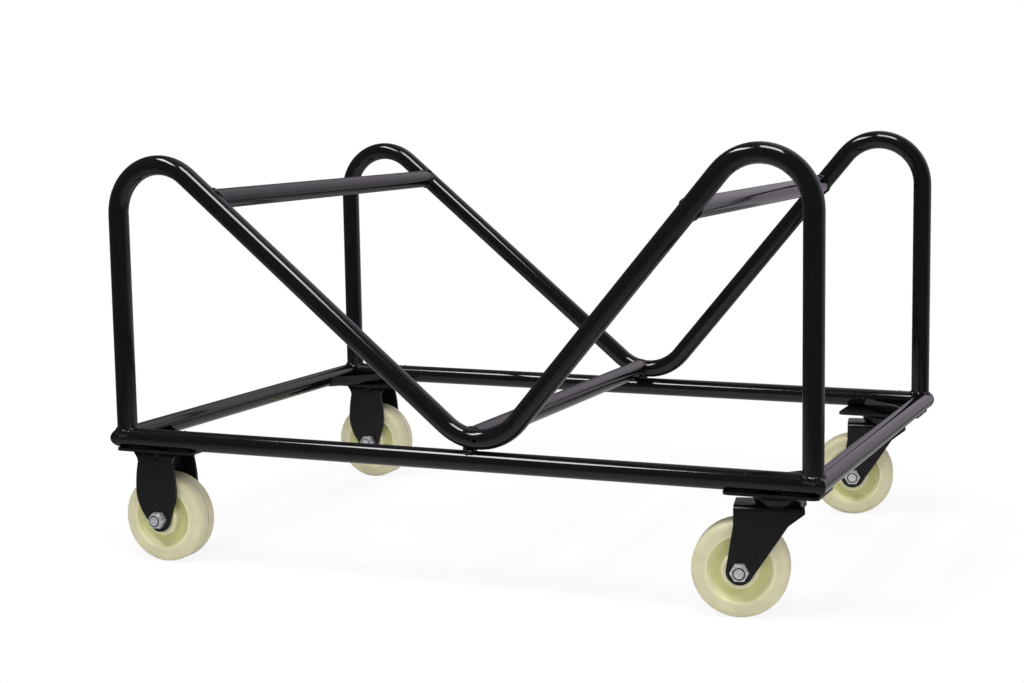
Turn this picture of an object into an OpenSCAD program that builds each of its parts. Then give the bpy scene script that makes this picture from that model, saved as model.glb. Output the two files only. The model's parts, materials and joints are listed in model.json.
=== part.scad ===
// Stacking chair trolley: a welded tube base, two bent cradle tubes and four castors.
// Millimetres. +X along the long side, +Y to the rear, +Z up.
// The origin is on the floor, under the middle of the base.

/* [Base frame] */
// Length between the centrelines of the two end rails
rail_span_x = 808; // [740:2:1000]
// Width between the centrelines of the two long rails
rail_span_y = 512; // [440:2:640]
// Outside diameter of every tube
tube_d = 22; // [19:0.5:25]
// Wall thickness of every tube
tube_wall = 1.5; // [1:0.1:2.5]
// Root gap at a cut tube end or plate edge, which the weld fills
weld_gap = 0.25; // [0.1:0.05:0.5]

/* [Chair cradle] */
// Distance from an end rail's centreline in to the cradle posts
post_inset = 4; // [0:0.5:6]
// Height of the left crest above the floor
left_crest_z = 459.5; // [400:0.5:560]
// Height of the right crest above the floor
right_crest_z = 477.3; // [400:0.5:560]
// Centreline radius of the four crest bends
crest_bend_r = 55; // [45:0.5:70]
// Centreline radius of the two valley bends
valley_bend_r = 58.5; // [45:0.5:80]
// Place of the valley to the right of the middle
valley_x = 38; // [-40:1:60]
// Gap between a valley bend and the long rail under it
valley_gap = 1.5; // [0.5:0.1:4]
// Distance of the upper left bar down the slope from its crest bend
left_bar_run = 38; // [20:1:80]
// Distance of the upper right bar down the slope from its crest bend
right_bar_run = 48; // [20:1:80]
// Angle of the lower bar round the valley bend, left of its lowest point
low_bar_angle = 9.8; // [0:0.2:20]
// Length of the weld that ties a valley bend to its rail
valley_weld_len = 13; // [8:0.5:20]
// Width of the weld that ties a valley bend to its rail
valley_weld_w = 8; // [5:0.5:12]
// Diameter of the drain hole in the front valley bend
drain_d = 4; // [2:0.5:6]

/* [Corner gussets] */
// Leg of a gusset, from the corner of the rail centrelines
gusset_leg = 84; // [70:1:110]
// Sheet thickness of a gusset
gusset_t = 2.5; // [2:0.1:4]
// Height of the turned-up lip on a gusset
gusset_lip_h = 13; // [8:0.5:18]
// Inside radius of the bend between a gusset and its lip
gusset_bend_r = 2; // [1:0.5:4]

/* [Castor plates] */
// Height of a castor from the floor to the top of its plate
castor_h = 130.5; // [128:0.5:150]
// Length of a castor plate, along the long rail
plate_len = 100; // [90:1:120]
// Width of a swivel castor's plate
plate_w = 64; // [58:1:90]
// Width of a fixed castor's plate
fixed_plate_w = 57; // [50:1:80]
// Thickness of a castor plate
plate_t = 3; // [2:0.5:5]
// Corner radius of a castor plate
plate_corner_r = 7; // [2:0.5:15]
// Distance that a swivel castor's plate reaches past the end rail's centreline
plate_reach = 4; // [0:0.5:10]
// Distance that a fixed castor's plate reaches past the end rail's centreline
fixed_plate_reach = 5.5; // [0:0.5:10]

/* [Forks] */
// Clear width between the legs of a fork
fork_gap = 38; // [36:0.5:44]
// Sheet thickness of a fork
fork_t = 3; // [2:0.25:4]
// Inside radius of a fork's two folds
fork_fold_r = 3; // [1:0.5:5]
// Radius of a leg's end round the axle
leg_end_r = 14; // [12:0.5:16]
// Height at which a fixed leg is widest
leg_belly_z = 84; // [75:1:95]
// Half width of a fixed leg there, towards the end of the trolley
leg_belly_out = 29; // [24:0.5:32]
// Half width of a fixed leg there, towards the middle of the trolley
leg_belly_in = 23; // [18:0.5:28]
// Edge radius of a fixed leg above its widest place
leg_upper_r = 140; // [100:5:250]
// Edge radius of a fixed leg below its widest place
leg_lower_r = 50; // [45:1:60]
// Radius of the flare between a fixed leg and its web
leg_flare_r = 13; // [6:0.5:16]
// Radius of the stiffening dent in a fixed fork's fold
dent_r = 5; // [3:0.5:6]
// Depth of the stiffening dent
dent_depth = 1.5; // [0.5:0.25:2]

/* [Swivel castors] */
// Distance from the kingpin to the axle
trail = 37; // [30:0.5:45]
// Rest angle of the front swivel fork
front_swivel_angle = 13; // [-45:1:45]
// Rest angle of the rear swivel fork
rear_swivel_angle = 12; // [-45:1:45]
// Height between a castor plate and the crown of a swivel fork
swivel_gap = 10.5; // [9.5:0.1:13]
// Reach of a swivel crown past the kingpin
crown_front = 28; // [26:0.5:36]
// Reach of a swivel crown past the axle
crown_back = 6.5; // [4:0.5:12]
// Depth of a swivel crown's front edge
crown_edge = 7.5; // [6:0.5:12]
// Distance of the step in a swivel leg back from the crown's front edge
leg_step_in = 16.5; // [10:0.5:22]
// Depth of the step in a swivel leg below the crown
leg_step_drop = 20; // [14:0.5:26]
// Radius of the crown's front corner
crown_corner_r = 5; // [2:0.5:6]
// Diameter of the kingpin
kingpin_d = 12; // [10:0.5:14]
// Diameter of the kingpin's head
kingpin_head_d = 26; // [22:0.5:30]
// Thickness of the kingpin's head
kingpin_head_h = 4; // [3:0.5:6]
// Thickness of the thrust washer on the kingpin's head
thrust_t = 2.5; // [1.5:0.25:4]
// Width of the kingpin's head outside its thrust washer
thrust_edge = 1; // [0.5:0.25:2]
// Diameter of the bearing balls
ball_d = 6.35; // [5:0.05:7]
// Number of bearing balls in a ring
ball_count = 14; // [8:1:16]
// Diameter of the circle of ball centres
ball_circle_d = 34; // [32:0.5:36]
// Outside diameter of the upper race's rim
race_rim_d = 51; // [48:0.5:56]
// Outside diameter of the upper race's neck under the plate
race_neck_d = 41; // [36:0.5:44]
// Depth of the neck between a castor plate and the upper race's rim
race_neck_h = 2.8; // [2:0.2:4]
// Height of the upper race's rim
race_rim_h = 2; // [1:0.25:3]
// Taper of the upper race from its rim to its foot
race_taper = 2; // [1:0.25:2.25]
// Height of the upper race's foot above the crown
race_lift = 1.2; // [0.8:0.1:2]
// Clearance between the upper race's skirt and the crown's track
race_play = 0.9; // [0.5:0.1:1.2]
// Height of the crown's pressed track above the crown
track_h = 1.5; // [1:0.1:2]
// Width of the crown's track outside its balls
track_edge = 0.4; // [0.2:0.05:0.6]
// Clearance of the balls to the upper race
ball_play = 0.3; // [0.2:0.05:0.5]
// Radial clearance of the fork on its kingpin
kingpin_play = 0.08; // [0.02:0.01:0.1]
// End play between a swivel crown and its thrust washer
thrust_play = 0.15; // [0.1:0.05:0.3]

/* [Wheels and axles] */
// Diameter of a wheel
wheel_d = 100; // [90:1:106]
// Width of a wheel's rim
wheel_w = 32; // [26:0.5:34]
// Shoulder radius of the tread
tread_r = 7; // [4:0.5:9]
// Depth of the parting groove round the tread
groove_depth = 0.4; // [0.2:0.1:0.8]
// Width of the parting groove round the tread
groove_w = 0.8; // [0.4:0.1:1.5]
// Inside diameter of a wheel's rim
rim_in_d = 66; // [56:1:72]
// Thickness of a wheel's web
web_t = 17; // [8:0.5:22]
// Diameter of a wheel's hub
hub_d = 38; // [28:1:44]
// Side clearance between a hub and a fork leg
hub_side_play = 0.6; // [0.3:0.1:1]
// Edge radius of a wheel's hub and inner rim
wheel_edge_r = 2; // [0.5:0.5:3]
// Slope of the moulded wall from a wheel's rim down to its web
rim_draft = 4; // [1:0.5:6]
// Outside diameter of the steel sleeve in a hub
sleeve_d = 15; // [13:0.5:18]
// Radial clearance of a wheel on its sleeve
sleeve_play = 0.08; // [0.02:0.01:0.1]
// Thread diameter of an axle bolt
bolt_d = 10; // [8:1:12]
// Radial clearance round an axle bolt
bolt_play = 0.15; // [0.1:0.05:0.3]
// Width across the flats of an axle bolt's head and nut
hex_flats = 17; // [15:0.5:19]
// Height of an axle bolt's head
head_h = 6.4; // [5:0.2:8]
// Height of the hexagon of a lock nut
nut_hex_h = 6.5; // [5:0.5:8]
// Height of a lock nut's collar beyond its hexagon
nut_collar_h = 3; // [2:0.5:4]
// Diameter of a lock nut's collar
nut_collar_d = 15.4; // [14:0.2:16.5]
// Wall of a lock nut's collar round its nylon ring
nut_collar_wall = 1.1; // [0.8:0.1:1.4]
// Depth of the seat for the nylon ring in a lock nut
nylon_seat = 2.4; // [1.5:0.1:2.8]
// Distance of the nylon ring below the end of the collar
nylon_set = 0.25; // [0.1:0.05:0.5]
// Length of an axle bolt beyond its nut
bolt_end = 0.6; // [0:0.2:4]

/* [Hidden] */
$fn = 64;
// Finer steps for the thin welds, whose size is small beside a tube's facets
weld_facets = 240;

// Signs of the four corners
left = -1;
right = 1;
front = -1;
rear = 1;

// Colours of the finishes
powder_black = [0.05, 0.05, 0.055];
zinc = [0.78, 0.79, 0.8];
dark_steel = [0.3, 0.3, 0.32];
cream_nylon = [0.9, 0.9, 0.78];
nut_nylon = [0.2, 0.2, 0.22];

// Small overlap that lets a cut run past a face
eps = 0.5;
// How much a tube's radius shrinks where it is drawn round a bend
bend_draw = 0.1;
// How far a straight run of tube carries on into a bend
bend_lap = 0.5;
// Overlap of two cutting bars where they meet at a mitre
mitre_lap = 0.1;
// How far a straight edge is drawn in from the arc that it runs into
edge_draw = 0.1;

// Places of the tube centrelines
tube_r = tube_d / 2;
bore_r = tube_r - tube_wall;
cut_r = tube_r + weld_gap;
rail_x = rail_span_x / 2;
rail_y = rail_span_y / 2;
rail_z = castor_h + tube_r;
post_x = rail_x - post_inset;

// Centres of the crest and valley bends in the plane of a cradle tube, as [x, z]
left_crest = [-post_x + crest_bend_r, left_crest_z - tube_r - crest_bend_r];
right_crest = [post_x - crest_bend_r, right_crest_z - tube_r - crest_bend_r];
valley_low_z = rail_z + tube_d + valley_gap;
valley = [valley_x, valley_low_z + valley_bend_r];

// Slope below the horizontal of the straight that touches a crest bend from above and the
// valley bend from below, for a horizontal run and a drop between the two bend centres
function slope(run, drop) =
    atan2(run, drop) - acos((crest_bend_r + valley_bend_r) / norm([run, drop]));
left_slope = slope(valley[0] - left_crest[0], valley[1] - left_crest[1]);
right_slope = slope(right_crest[0] - valley[0], valley[1] - right_crest[1]);

// Point on a bend at an angle from straight up, to the right
function on_bend(centre, r, angle) = centre + r * [sin(angle), cos(angle)];
left_top = on_bend(left_crest, crest_bend_r, left_slope);
left_foot = on_bend(valley, -valley_bend_r, left_slope);
right_top = on_bend(right_crest, crest_bend_r, -right_slope);
right_foot = on_bend(valley, -valley_bend_r, -right_slope);
left_bar = left_top + left_bar_run * [cos(left_slope), -sin(left_slope)];
right_bar = right_top + right_bar_run * [-cos(right_slope), -sin(right_slope)];
low_bar = on_bend(valley, -valley_bend_r, low_bar_angle);

// Places and heights of the castors
function castor_plate_w(end) = end == left ? fixed_plate_w : plate_w;
function castor_reach(end) = end == left ? fixed_plate_reach : plate_reach;
function castor_x(end) = end * (rail_x + castor_reach(end) - plate_len / 2);
function castor_y(end, side) = side * (rail_y + tube_r - castor_plate_w(end) / 2);
plate_z = castor_h - plate_t;
crown_z = plate_z - swivel_gap;
axle_z = wheel_d / 2;
fork_w = fork_gap + 2 * fork_t;
bolt_r = bolt_d / 2;
bolt_hole_r = bolt_r + bolt_play;
hub_w = fork_gap - 2 * hub_side_play;
hub_bore_r = sleeve_d / 2 + sleeve_play;
nut_h = nut_hex_h + nut_collar_h;

// Heights inside the swivel head
ball_r = ball_d / 2;
ball_ring_r = ball_circle_d / 2;
track_z = crown_z + track_h;
ball_z = crown_z + ball_r;
kingpin_r = kingpin_d / 2;
kingpin_hole_r = kingpin_r + kingpin_play;
thrust_top_z = crown_z - fork_t - thrust_play;
head_top_z = thrust_top_z - thrust_t;
track_r = ball_ring_r + ball_r + track_edge;
race_in_r = track_r + race_play;
race_foot_z = crown_z + race_lift;
race_floor_z = ball_z + ball_r / 2;
race_rim_z = plate_z - race_neck_h;

// Straight round bar between two points of a cradle tube's plane
module straight(from, to, r) {
    along = to - from;
    translate([from[0], 0, from[1]])
        rotate([0, atan2(along[0], along[1]), 0])
            cylinder(h = norm(along), r = r);
}

// Sloping run between two bends, which laps into both of them
module sloping_run(from, to, r) {
    lap = bend_lap * (to - from) / norm(to - from);
    straight(from - lap, to + lap, r);
}

// Part of a ring in a cradle tube's plane, anticlockwise from an angle above +X
module bend(centre, bend_r, from, sweep, r) {
    translate([centre[0], 0, centre[1]])
        rotate([90, 0, 0])
            rotate([0, 0, from])
                rotate_extrude(angle = sweep)
                    translate([bend_r, 0])
                        circle(r = r - bend_draw);
}

// Valley bend of a cradle tube
module valley_bend(r) {
    bend(valley, valley_bend_r, 270 - left_slope, left_slope + right_slope, r);
}

// Whole run of a cradle tube from foot to foot, as a solid bar
module cradle_run(r) {
    straight([-post_x, rail_z], [-post_x, left_crest[1] + bend_lap], r);
    bend(left_crest, crest_bend_r, 90 - left_slope, 90 + left_slope, r);
    sloping_run(left_top, left_foot, r);
    valley_bend(r);
    sloping_run(right_foot, right_top, r);
    bend(right_crest, crest_bend_r, 0, 90 + right_slope, r);
    straight([post_x, right_crest[1] + bend_lap], [post_x, rail_z], r);
}

// Solid long rail with mitred ends, which run past the mitre by a lap
module long_rail_bar(side, r, lap = 0) {
    intersection() {
        translate([0, side * rail_y, rail_z])
            rotate([0, 90, 0])
                cylinder(h = rail_span_x + 2 * r, r = r, center = true);
        translate([0, side * rail_y, rail_z - r])
            linear_extrude(2 * r)
                polygon([
                    [-rail_x - r - lap, side * r], [rail_x + r + lap, side * r],
                    [rail_x - r + lap, -side * r], [-rail_x + r - lap, -side * r]
                ]);
    }
}

// Solid end rail with mitred ends, which run past the mitre by a lap
module end_rail_bar(side, r, lap = 0) {
    intersection() {
        translate([side * rail_x, 0, rail_z])
            rotate([90, 0, 0])
                cylinder(h = rail_span_y + 2 * r, r = r, center = true);
        translate([side * rail_x, 0, rail_z - r])
            linear_extrude(2 * r)
                polygon([
                    [side * r, -rail_y - r - lap], [side * r, rail_y + r + lap],
                    [-side * r, rail_y - r + lap], [-side * r, -rail_y + r - lap]
                ]);
    }
}

// Long side of the base, a tube mitred to the end rails
module long_rail(side) {
    color(powder_black)
        difference() {
            long_rail_bar(side, tube_r);
            translate([0, side * rail_y, rail_z])
                rotate([0, 90, 0])
                    cylinder(h = rail_span_x + 2 * tube_d, r = bore_r, center = true);
        }
}

// Short side of the base, a tube mitred to the long rails
module end_rail(side) {
    color(powder_black)
        difference() {
            end_rail_bar(side, tube_r);
            translate([side * rail_x, 0, rail_z])
                rotate([90, 0, 0])
                    cylinder(h = rail_span_y + 2 * tube_d, r = bore_r, center = true);
        }
}

// Bent tube that stands on two corners and dips to a valley, which carries the chairs
module cradle_tube(side) {
    color(powder_black)
        difference() {
            translate([0, side * rail_y, 0])
                cradle_run(tube_r);
            translate([0, side * rail_y, 0])
                cradle_run(bore_r);
            long_rail_bar(side, cut_r, mitre_lap);
            end_rail_bar(left, cut_r, mitre_lap);
            end_rail_bar(right, cut_r, mitre_lap);
            if (side == front)
                translate([valley_x, -rail_y, valley_low_z])
                    rotate([90, 0, 0])
                        cylinder(h = tube_d, d = drain_d);
        }
}

// Tube across the trolley at one place of the cradle's plane, before its ends are cut
module cross_tube(place) {
    translate([place[0], 0, place[1]])
        rotate([90, 0, 0])
            difference() {
                cylinder(h = rail_span_y, r = tube_r, center = true);
                cylinder(h = rail_span_y + tube_d, r = bore_r, center = true);
            }
}

// Upper bar between the left slopes of the two cradle tubes
module upper_left_bar() {
    color(powder_black)
        difference() {
            cross_tube(left_bar);
            for (side = [front, rear])
                translate([0, side * rail_y, 0])
                    straight(left_top, left_foot, cut_r);
        }
}

// Upper bar between the right slopes of the two cradle tubes
module upper_right_bar() {
    color(powder_black)
        difference() {
            cross_tube(right_bar);
            for (side = [front, rear])
                translate([0, side * rail_y, 0])
                    straight(right_foot, right_top, cut_r);
        }
}

// Lower bar between the two valley bends
module lower_bar() {
    color(powder_black)
        difference() {
            cross_tube(low_bar);
            for (side = [front, rear])
                translate([0, side * rail_y, 0])
                    valley_bend(cut_r);
        }
}

// Weld between each valley bend and the long rail under it, which leaves the lower bar clear
module valley_welds() {
    color(powder_black)
        for (side = [front, rear])
            difference() {
                translate([low_bar[0] - valley_weld_len / 2, side * rail_y - valley_weld_w / 2, rail_z])
                    cube([valley_weld_len, valley_weld_w, low_bar[1] - rail_z]);
                long_rail_bar(side, tube_r, $fn = weld_facets);
                translate([0, side * rail_y, 0])
                    valley_bend(tube_r, $fn = weld_facets);
                translate([low_bar[0], 0, low_bar[1]])
                    rotate([90, 0, 0])
                        cylinder(h = rail_span_y, r = cut_r, center = true, $fn = weld_facets);
            }
}

// Section of a gusset's lip: a sheet that turns up through a round bend.
// X runs across the lip, away from the corner, and Y runs up.
module lip_section() {
    outer_r = gusset_bend_r + gusset_t;
    translate([-outer_r, outer_r])
        intersection() {
            difference() {
                circle(r = outer_r);
                circle(r = gusset_bend_r);
            }
            translate([0, -outer_r])
                square(outer_r);
        }
    translate([-gusset_t, outer_r])
        square([gusset_t, gusset_lip_h - outer_r]);
    translate([-outer_r - eps, 0])
        square([eps, gusset_t]);
}

// Triangular sheet that closes a corner of the base and carries the castor plate
module gusset(end, side) {
    outer_r = gusset_bend_r + gusset_t;
    edge = sqrt(cut_r * cut_r - (tube_r - gusset_t) * (tube_r - gusset_t)) + weld_gap;
    tip = gusset_leg - edge;
    color(powder_black)
        difference() {
            translate([end * rail_x, side * rail_y, castor_h])
                mirror([(end + 1) / 2, 0, 0])
                    mirror([0, (side + 1) / 2, 0]) {
                        linear_extrude(gusset_t)
                            polygon([
                                [edge, edge], [tip - outer_r * sqrt(2), edge],
                                [edge, tip - outer_r * sqrt(2)]
                            ]);
                        translate([tip, edge, 0])
                            rotate([0, 0, 45])
                                rotate([90, 0, 0])
                                    mirror([0, 0, 1])
                                        linear_extrude((tip - edge) * sqrt(2))
                                            lip_section();
                    }
            long_rail_bar(side, cut_r, mitre_lap);
            end_rail_bar(end, cut_r, mitre_lap);
        }
}

// Rounded outline of a castor plate of a width
module plate_outline(w) {
    square([plate_len - 2 * plate_corner_r, w], center = true);
    square([plate_len, w - 2 * plate_corner_r], center = true);
    for (x = [-1, 1], y = [-1, 1])
        translate([x * (plate_len / 2 - plate_corner_r), y * (w / 2 - plate_corner_r)])
            circle(r = plate_corner_r);
}

// Flat plate under a corner of the base. A swivel castor's plate has the kingpin's hole.
module castor_plate(end, side) {
    color(powder_black)
        translate([castor_x(end), castor_y(end, side), plate_z])
            difference() {
                linear_extrude(plate_t)
                    plate_outline(castor_plate_w(end));
                if (end == right)
                    translate([0, 0, -eps])
                        cylinder(h = plate_t + 2 * eps, r = kingpin_r);
            }
}

// Puts a piece of a castor in its place: a fixed castor stands square under its plate, and a
// swivel castor is turned about its kingpin
module at_castor(end, side) {
    turn = end == left ? 0 : side == front ? front_swivel_angle : rear_swivel_angle;
    translate([castor_x(end), castor_y(end, side), 0])
        rotate([0, 0, turn])
            children();
}

// Puts a piece on a castor's axle, which runs along Y, with +Z along the axle to the rear
module at_axle(end, side) {
    at_castor(end, side)
        translate([end == left ? 0 : -trail, 0, axle_z])
            rotate([-90, 0, 0])
                children();
}

// Section of a fork across its legs: an upside-down U of sheet with round folds, top at 0
module fork_section(depth) {
    outer_r = fork_fold_r + fork_t;
    difference() {
        folded_block(fork_w, depth, outer_r);
        translate([0, -fork_t])
            folded_block(fork_gap, depth, fork_fold_r);
    }
}

// Block hung from 0 with its two upper corners rounded
module folded_block(w, depth, r) {
    translate([-w / 2, -depth])
        square([w, depth - r]);
    translate([-w / 2 + r, -r - eps])
        square([w - 2 * r, r + eps]);
    for (x = [-1, 1])
        translate([x * (w / 2 - r), -r])
            circle(r = r);
}

// Sheet of a fork bent to its U section along X, from one place to another, with its top at a height
module fork_sheet(from, to, top) {
    translate([from, 0, top])
        rotate([90, 0, 90])
            linear_extrude(to - from)
                fork_section(top - axle_z + leg_end_r);
}

// Half of a fixed leg's outline, on the +X side of the axle, with Y up from the floor
module fixed_leg_half(belly) {
    centre = [belly - leg_lower_r, leg_belly_z - axle_z];
    touch = atan2(centre[1], centre[0]) - acos((leg_end_r - leg_lower_r) / norm(centre));
    low_touch = (leg_end_r - edge_draw) * [cos(touch), sin(touch)];
    high_touch = centre + (leg_lower_r - edge_draw) * [cos(touch), sin(touch)];
    neck_z = plate_z - leg_flare_r;
    neck_drop = neck_z - leg_belly_z;
    arc_end = belly - leg_upper_r + sqrt(leg_upper_r * leg_upper_r - neck_drop * neck_drop);
    neck = arc_end - edge_draw;
    flare_end = leg_flare_r + eps - edge_draw;
    translate([0, axle_z]) {
        circle(r = leg_end_r);
        polygon([[0, low_touch[1]], low_touch, high_touch, [0, high_touch[1]]]);
        intersection() {
            translate(centre)
                circle(r = leg_lower_r);
            square([belly, centre[1]]);
        }
    }
    intersection() {
        translate([belly - leg_upper_r, leg_belly_z])
            circle(r = leg_upper_r);
        translate([0, leg_belly_z])
            square([belly, neck_drop]);
    }
    translate([0, neck_z - eps])
        square([neck, leg_flare_r + eps]);
    translate([neck - eps, neck_z])
        difference() {
            square([flare_end, leg_flare_r]);
            translate([flare_end, -edge_draw])
                circle(r = leg_flare_r);
        }
}

// Fork of a fixed castor, welded under its plate
module fixed_fork(side) {
    reach = max(leg_belly_out, leg_belly_in) + leg_flare_r;
    color(powder_black)
        at_castor(left, side)
            difference() {
                intersection() {
                    fork_sheet(-reach, reach, plate_z);
                    rotate([90, 0, 0])
                        linear_extrude(fork_w + 2 * eps, center = true) {
                            fixed_leg_half(leg_belly_in);
                            mirror([1, 0])
                                fixed_leg_half(leg_belly_out);
                        }
                }
                translate([0, 0, axle_z])
                    rotate([90, 0, 0])
                        cylinder(h = fork_w + 2 * eps, r = bolt_hole_r, center = true);
                for (y = [-1, 1])
                    translate([0, y * (fork_w / 2 + dent_r - dent_depth), plate_z - fork_fold_r - fork_t])
                        sphere(r = dent_r);
            }
}

// Outline of a swivel leg, with the axle at 0,0, the kingpin towards +X, and Y up
module swivel_leg() {
    top = crown_z - axle_z;
    nose = trail + crown_front;
    step = [nose - leg_step_in, top - leg_step_drop];
    heel = [-crown_back, top - leg_step_drop];
    touch_r = leg_end_r - edge_draw;
    heel_touch = atan2(heel[1], heel[0]) + acos(touch_r / norm(heel));
    step_touch = atan2(step[1], step[0]) - acos(touch_r / norm(step));
    circle(r = leg_end_r);
    difference() {
        polygon([
            touch_r * [cos(heel_touch), sin(heel_touch)], heel, [-crown_back, top], [nose, top],
            [nose, top - crown_edge], step, touch_r * [cos(step_touch), sin(step_touch)]
        ]);
        translate([nose - crown_corner_r, top - crown_corner_r])
            difference() {
                square(crown_corner_r + eps);
                circle(r = crown_corner_r);
            }
    }
}

// Fork of a swivel castor, with the lower ball track pressed up round its kingpin hole
module swivel_fork(side) {
    color(powder_black)
        at_castor(right, side)
            difference() {
                union() {
                    intersection() {
                        fork_sheet(-trail - leg_end_r - crown_back, crown_front, crown_z);
                        translate([-trail, 0, axle_z])
                            rotate([90, 0, 0])
                                linear_extrude(fork_w + 2 * eps, center = true)
                                    swivel_leg();
                    }
                    translate([0, 0, crown_z - fork_t / 2])
                        cylinder(h = fork_t / 2 + track_h, r = track_r);
                }
                translate([0, 0, crown_z - fork_t - eps])
                    cylinder(h = fork_t + track_h + 2 * eps, r = kingpin_hole_r);
                translate([0, 0, ball_z])
                    rotate_extrude()
                        translate([ball_ring_r, 0])
                            circle(r = ball_r);
                translate([-trail, 0, axle_z])
                    rotate([90, 0, 0])
                        cylinder(h = fork_w + 2 * eps, r = bolt_hole_r, center = true);
            }
}

// Pressed cup under a swivel castor's plate, with the upper ball track inside
module upper_race(side) {
    color(powder_black)
        translate([castor_x(right), castor_y(right, side), 0])
            difference() {
                rotate_extrude()
                    polygon([
                        [kingpin_r, plate_z], [race_neck_d / 2, plate_z],
                        [race_neck_d / 2, race_rim_z], [race_rim_d / 2, race_rim_z],
                        [race_rim_d / 2, race_rim_z - race_rim_h],
                        [race_rim_d / 2 - race_taper, race_foot_z], [race_in_r, race_foot_z],
                        [race_in_r, race_floor_z], [kingpin_r, race_floor_z]
                    ]);
                translate([0, 0, ball_z])
                    rotate_extrude()
                        translate([ball_ring_r, 0])
                            circle(r = ball_r + ball_play);
            }
}

// Ring of loose balls on the crown's track
module ball_ring(side) {
    color(zinc)
        at_castor(right, side)
            for (i = [0 : ball_count - 1])
                rotate([0, 0, i * 360 / ball_count])
                    translate([ball_ring_r, 0, ball_z])
                        sphere(r = ball_r);
}

// Kingpin, riveted in the castor plate, with its head below the fork's crown
module kingpin(side) {
    color(dark_steel)
        translate([castor_x(right), castor_y(right, side), 0])
            rotate_extrude()
                polygon([
                    [0, castor_h], [kingpin_r, castor_h], [kingpin_r, head_top_z],
                    [kingpin_head_d / 2, head_top_z],
                    [kingpin_head_d / 2, head_top_z - kingpin_head_h / 2],
                    [kingpin_head_d / 2 - kingpin_head_h / 2, head_top_z - kingpin_head_h],
                    [0, head_top_z - kingpin_head_h]
                ]);
}

// Washer on the kingpin's head, which the fork's crown runs on
module thrust_washer(side) {
    color(zinc)
        translate([castor_x(right), castor_y(right, side), head_top_z])
            difference() {
                cylinder(h = thrust_t, d = kingpin_head_d - 2 * thrust_edge);
                translate([0, 0, -eps])
                    cylinder(h = thrust_t + 2 * eps, r = kingpin_hole_r);
            }
}

// Hexagon with its outer corners turned off, standing on 0
module hexagon(h) {
    corner_r = hex_flats / sqrt(3);
    flat_r = hex_flats / 2;
    intersection() {
        cylinder(h = h, r = corner_r, $fn = 6);
        rotate_extrude()
            polygon([
                [0, 0], [corner_r + eps, 0], [corner_r + eps, h - (corner_r + eps - flat_r) / 2],
                [flat_r, h], [0, h]
            ]);
    }
}

// Hexagon bolt through both legs, with its head at the rear
module axle_bolt(end, side) {
    color(zinc)
        at_axle(end, side) {
            translate([0, 0, fork_w / 2])
                hexagon(head_h);
            translate([0, 0, -fork_w / 2 - nut_h - bolt_end])
                cylinder(h = fork_w + nut_h + bolt_end + head_h / 2, r = bolt_r);
        }
}

// Steel sleeve that the bolt clamps between the legs, and the wheel turns on
module sleeve(end, side) {
    color(dark_steel)
        at_axle(end, side)
            difference() {
                cylinder(h = fork_gap, d = sleeve_d, center = true);
                cylinder(h = fork_gap + 2 * eps, r = bolt_hole_r, center = true);
            }
}

// Lock nut with a round collar, at the front of the axle
module lock_nut(end, side) {
    color(zinc)
        at_axle(end, side)
            mirror([0, 0, 1])
                translate([0, 0, fork_w / 2])
                    difference() {
                        union() {
                            hexagon(nut_hex_h);
                            cylinder(h = nut_h, d = nut_collar_d);
                        }
                        translate([0, 0, -eps])
                            cylinder(h = nut_h + 2 * eps, r = bolt_r);
                        translate([0, 0, nut_h - nylon_seat])
                            cylinder(h = nylon_seat + eps, d = nut_collar_d - 2 * nut_collar_wall);
                    }
}

// Nylon ring in a lock nut's collar
module nylon_ring(end, side) {
    color(nut_nylon)
        at_axle(end, side)
            mirror([0, 0, 1])
                translate([0, 0, fork_w / 2 + nut_h - nylon_seat])
                    difference() {
                        cylinder(h = nylon_seat - nylon_set, d = nut_collar_d - 2 * nut_collar_wall);
                        translate([0, 0, -eps])
                            cylinder(h = nylon_seat + 2 * eps, r = bolt_r);
                    }
}

// Rectangle with all four corners rounded, given by its two opposite corners
module rounded_block(low, high, r) {
    translate([low[0] + r, low[1]])
        square([high[0] - low[0] - 2 * r, high[1] - low[1]]);
    translate([low[0], low[1] + r])
        square([high[0] - low[0], high[1] - low[1] - 2 * r]);
    for (x = [low[0] + r, high[0] - r], y = [low[1] + r, high[1] - r])
        translate([x, y])
            circle(r = r);
}

// Sloping wall inside a wheel's rim, from just under both faces down into the web
module drafted_wall() {
    from = rim_in_d / 2 + wheel_edge_r / 2;
    to = rim_in_d / 2 - rim_draft;
    high = wheel_w / 2 - wheel_edge_r / 4;
    low = web_t / 2 - wheel_edge_r / 2;
    polygon([[from, -high], [from, high], [to, low], [to, -low]]);
}

// Section of a wheel: a rim with round shoulders, a web and a hub, with X out from the axle
module wheel_section() {
    rim_in_r = rim_in_d / 2;
    hub_r = hub_d / 2;
    difference() {
        union() {
            rounded_block([rim_in_r, -wheel_w / 2], [wheel_d / 2, wheel_w / 2], tread_r);
            rounded_block(
                [rim_in_r, -wheel_w / 2], [wheel_d / 2 - tread_r, wheel_w / 2], wheel_edge_r);
            translate([hub_bore_r, -web_t / 2])
                square([rim_in_r + tread_r - hub_bore_r, web_t]);
            rounded_block([hub_bore_r, -hub_w / 2], [hub_r, hub_w / 2], wheel_edge_r);
            translate([hub_bore_r, -hub_w / 2])
                square([wheel_edge_r, hub_w]);
            drafted_wall();
        }
        translate([wheel_d / 2 - groove_depth, -groove_w / 2])
            square([groove_depth + eps, groove_w]);
    }
}

// Moulded nylon wheel
module wheel(end, side) {
    color(cream_nylon)
        at_axle(end, side)
            rotate_extrude()
                wheel_section();
}

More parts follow.
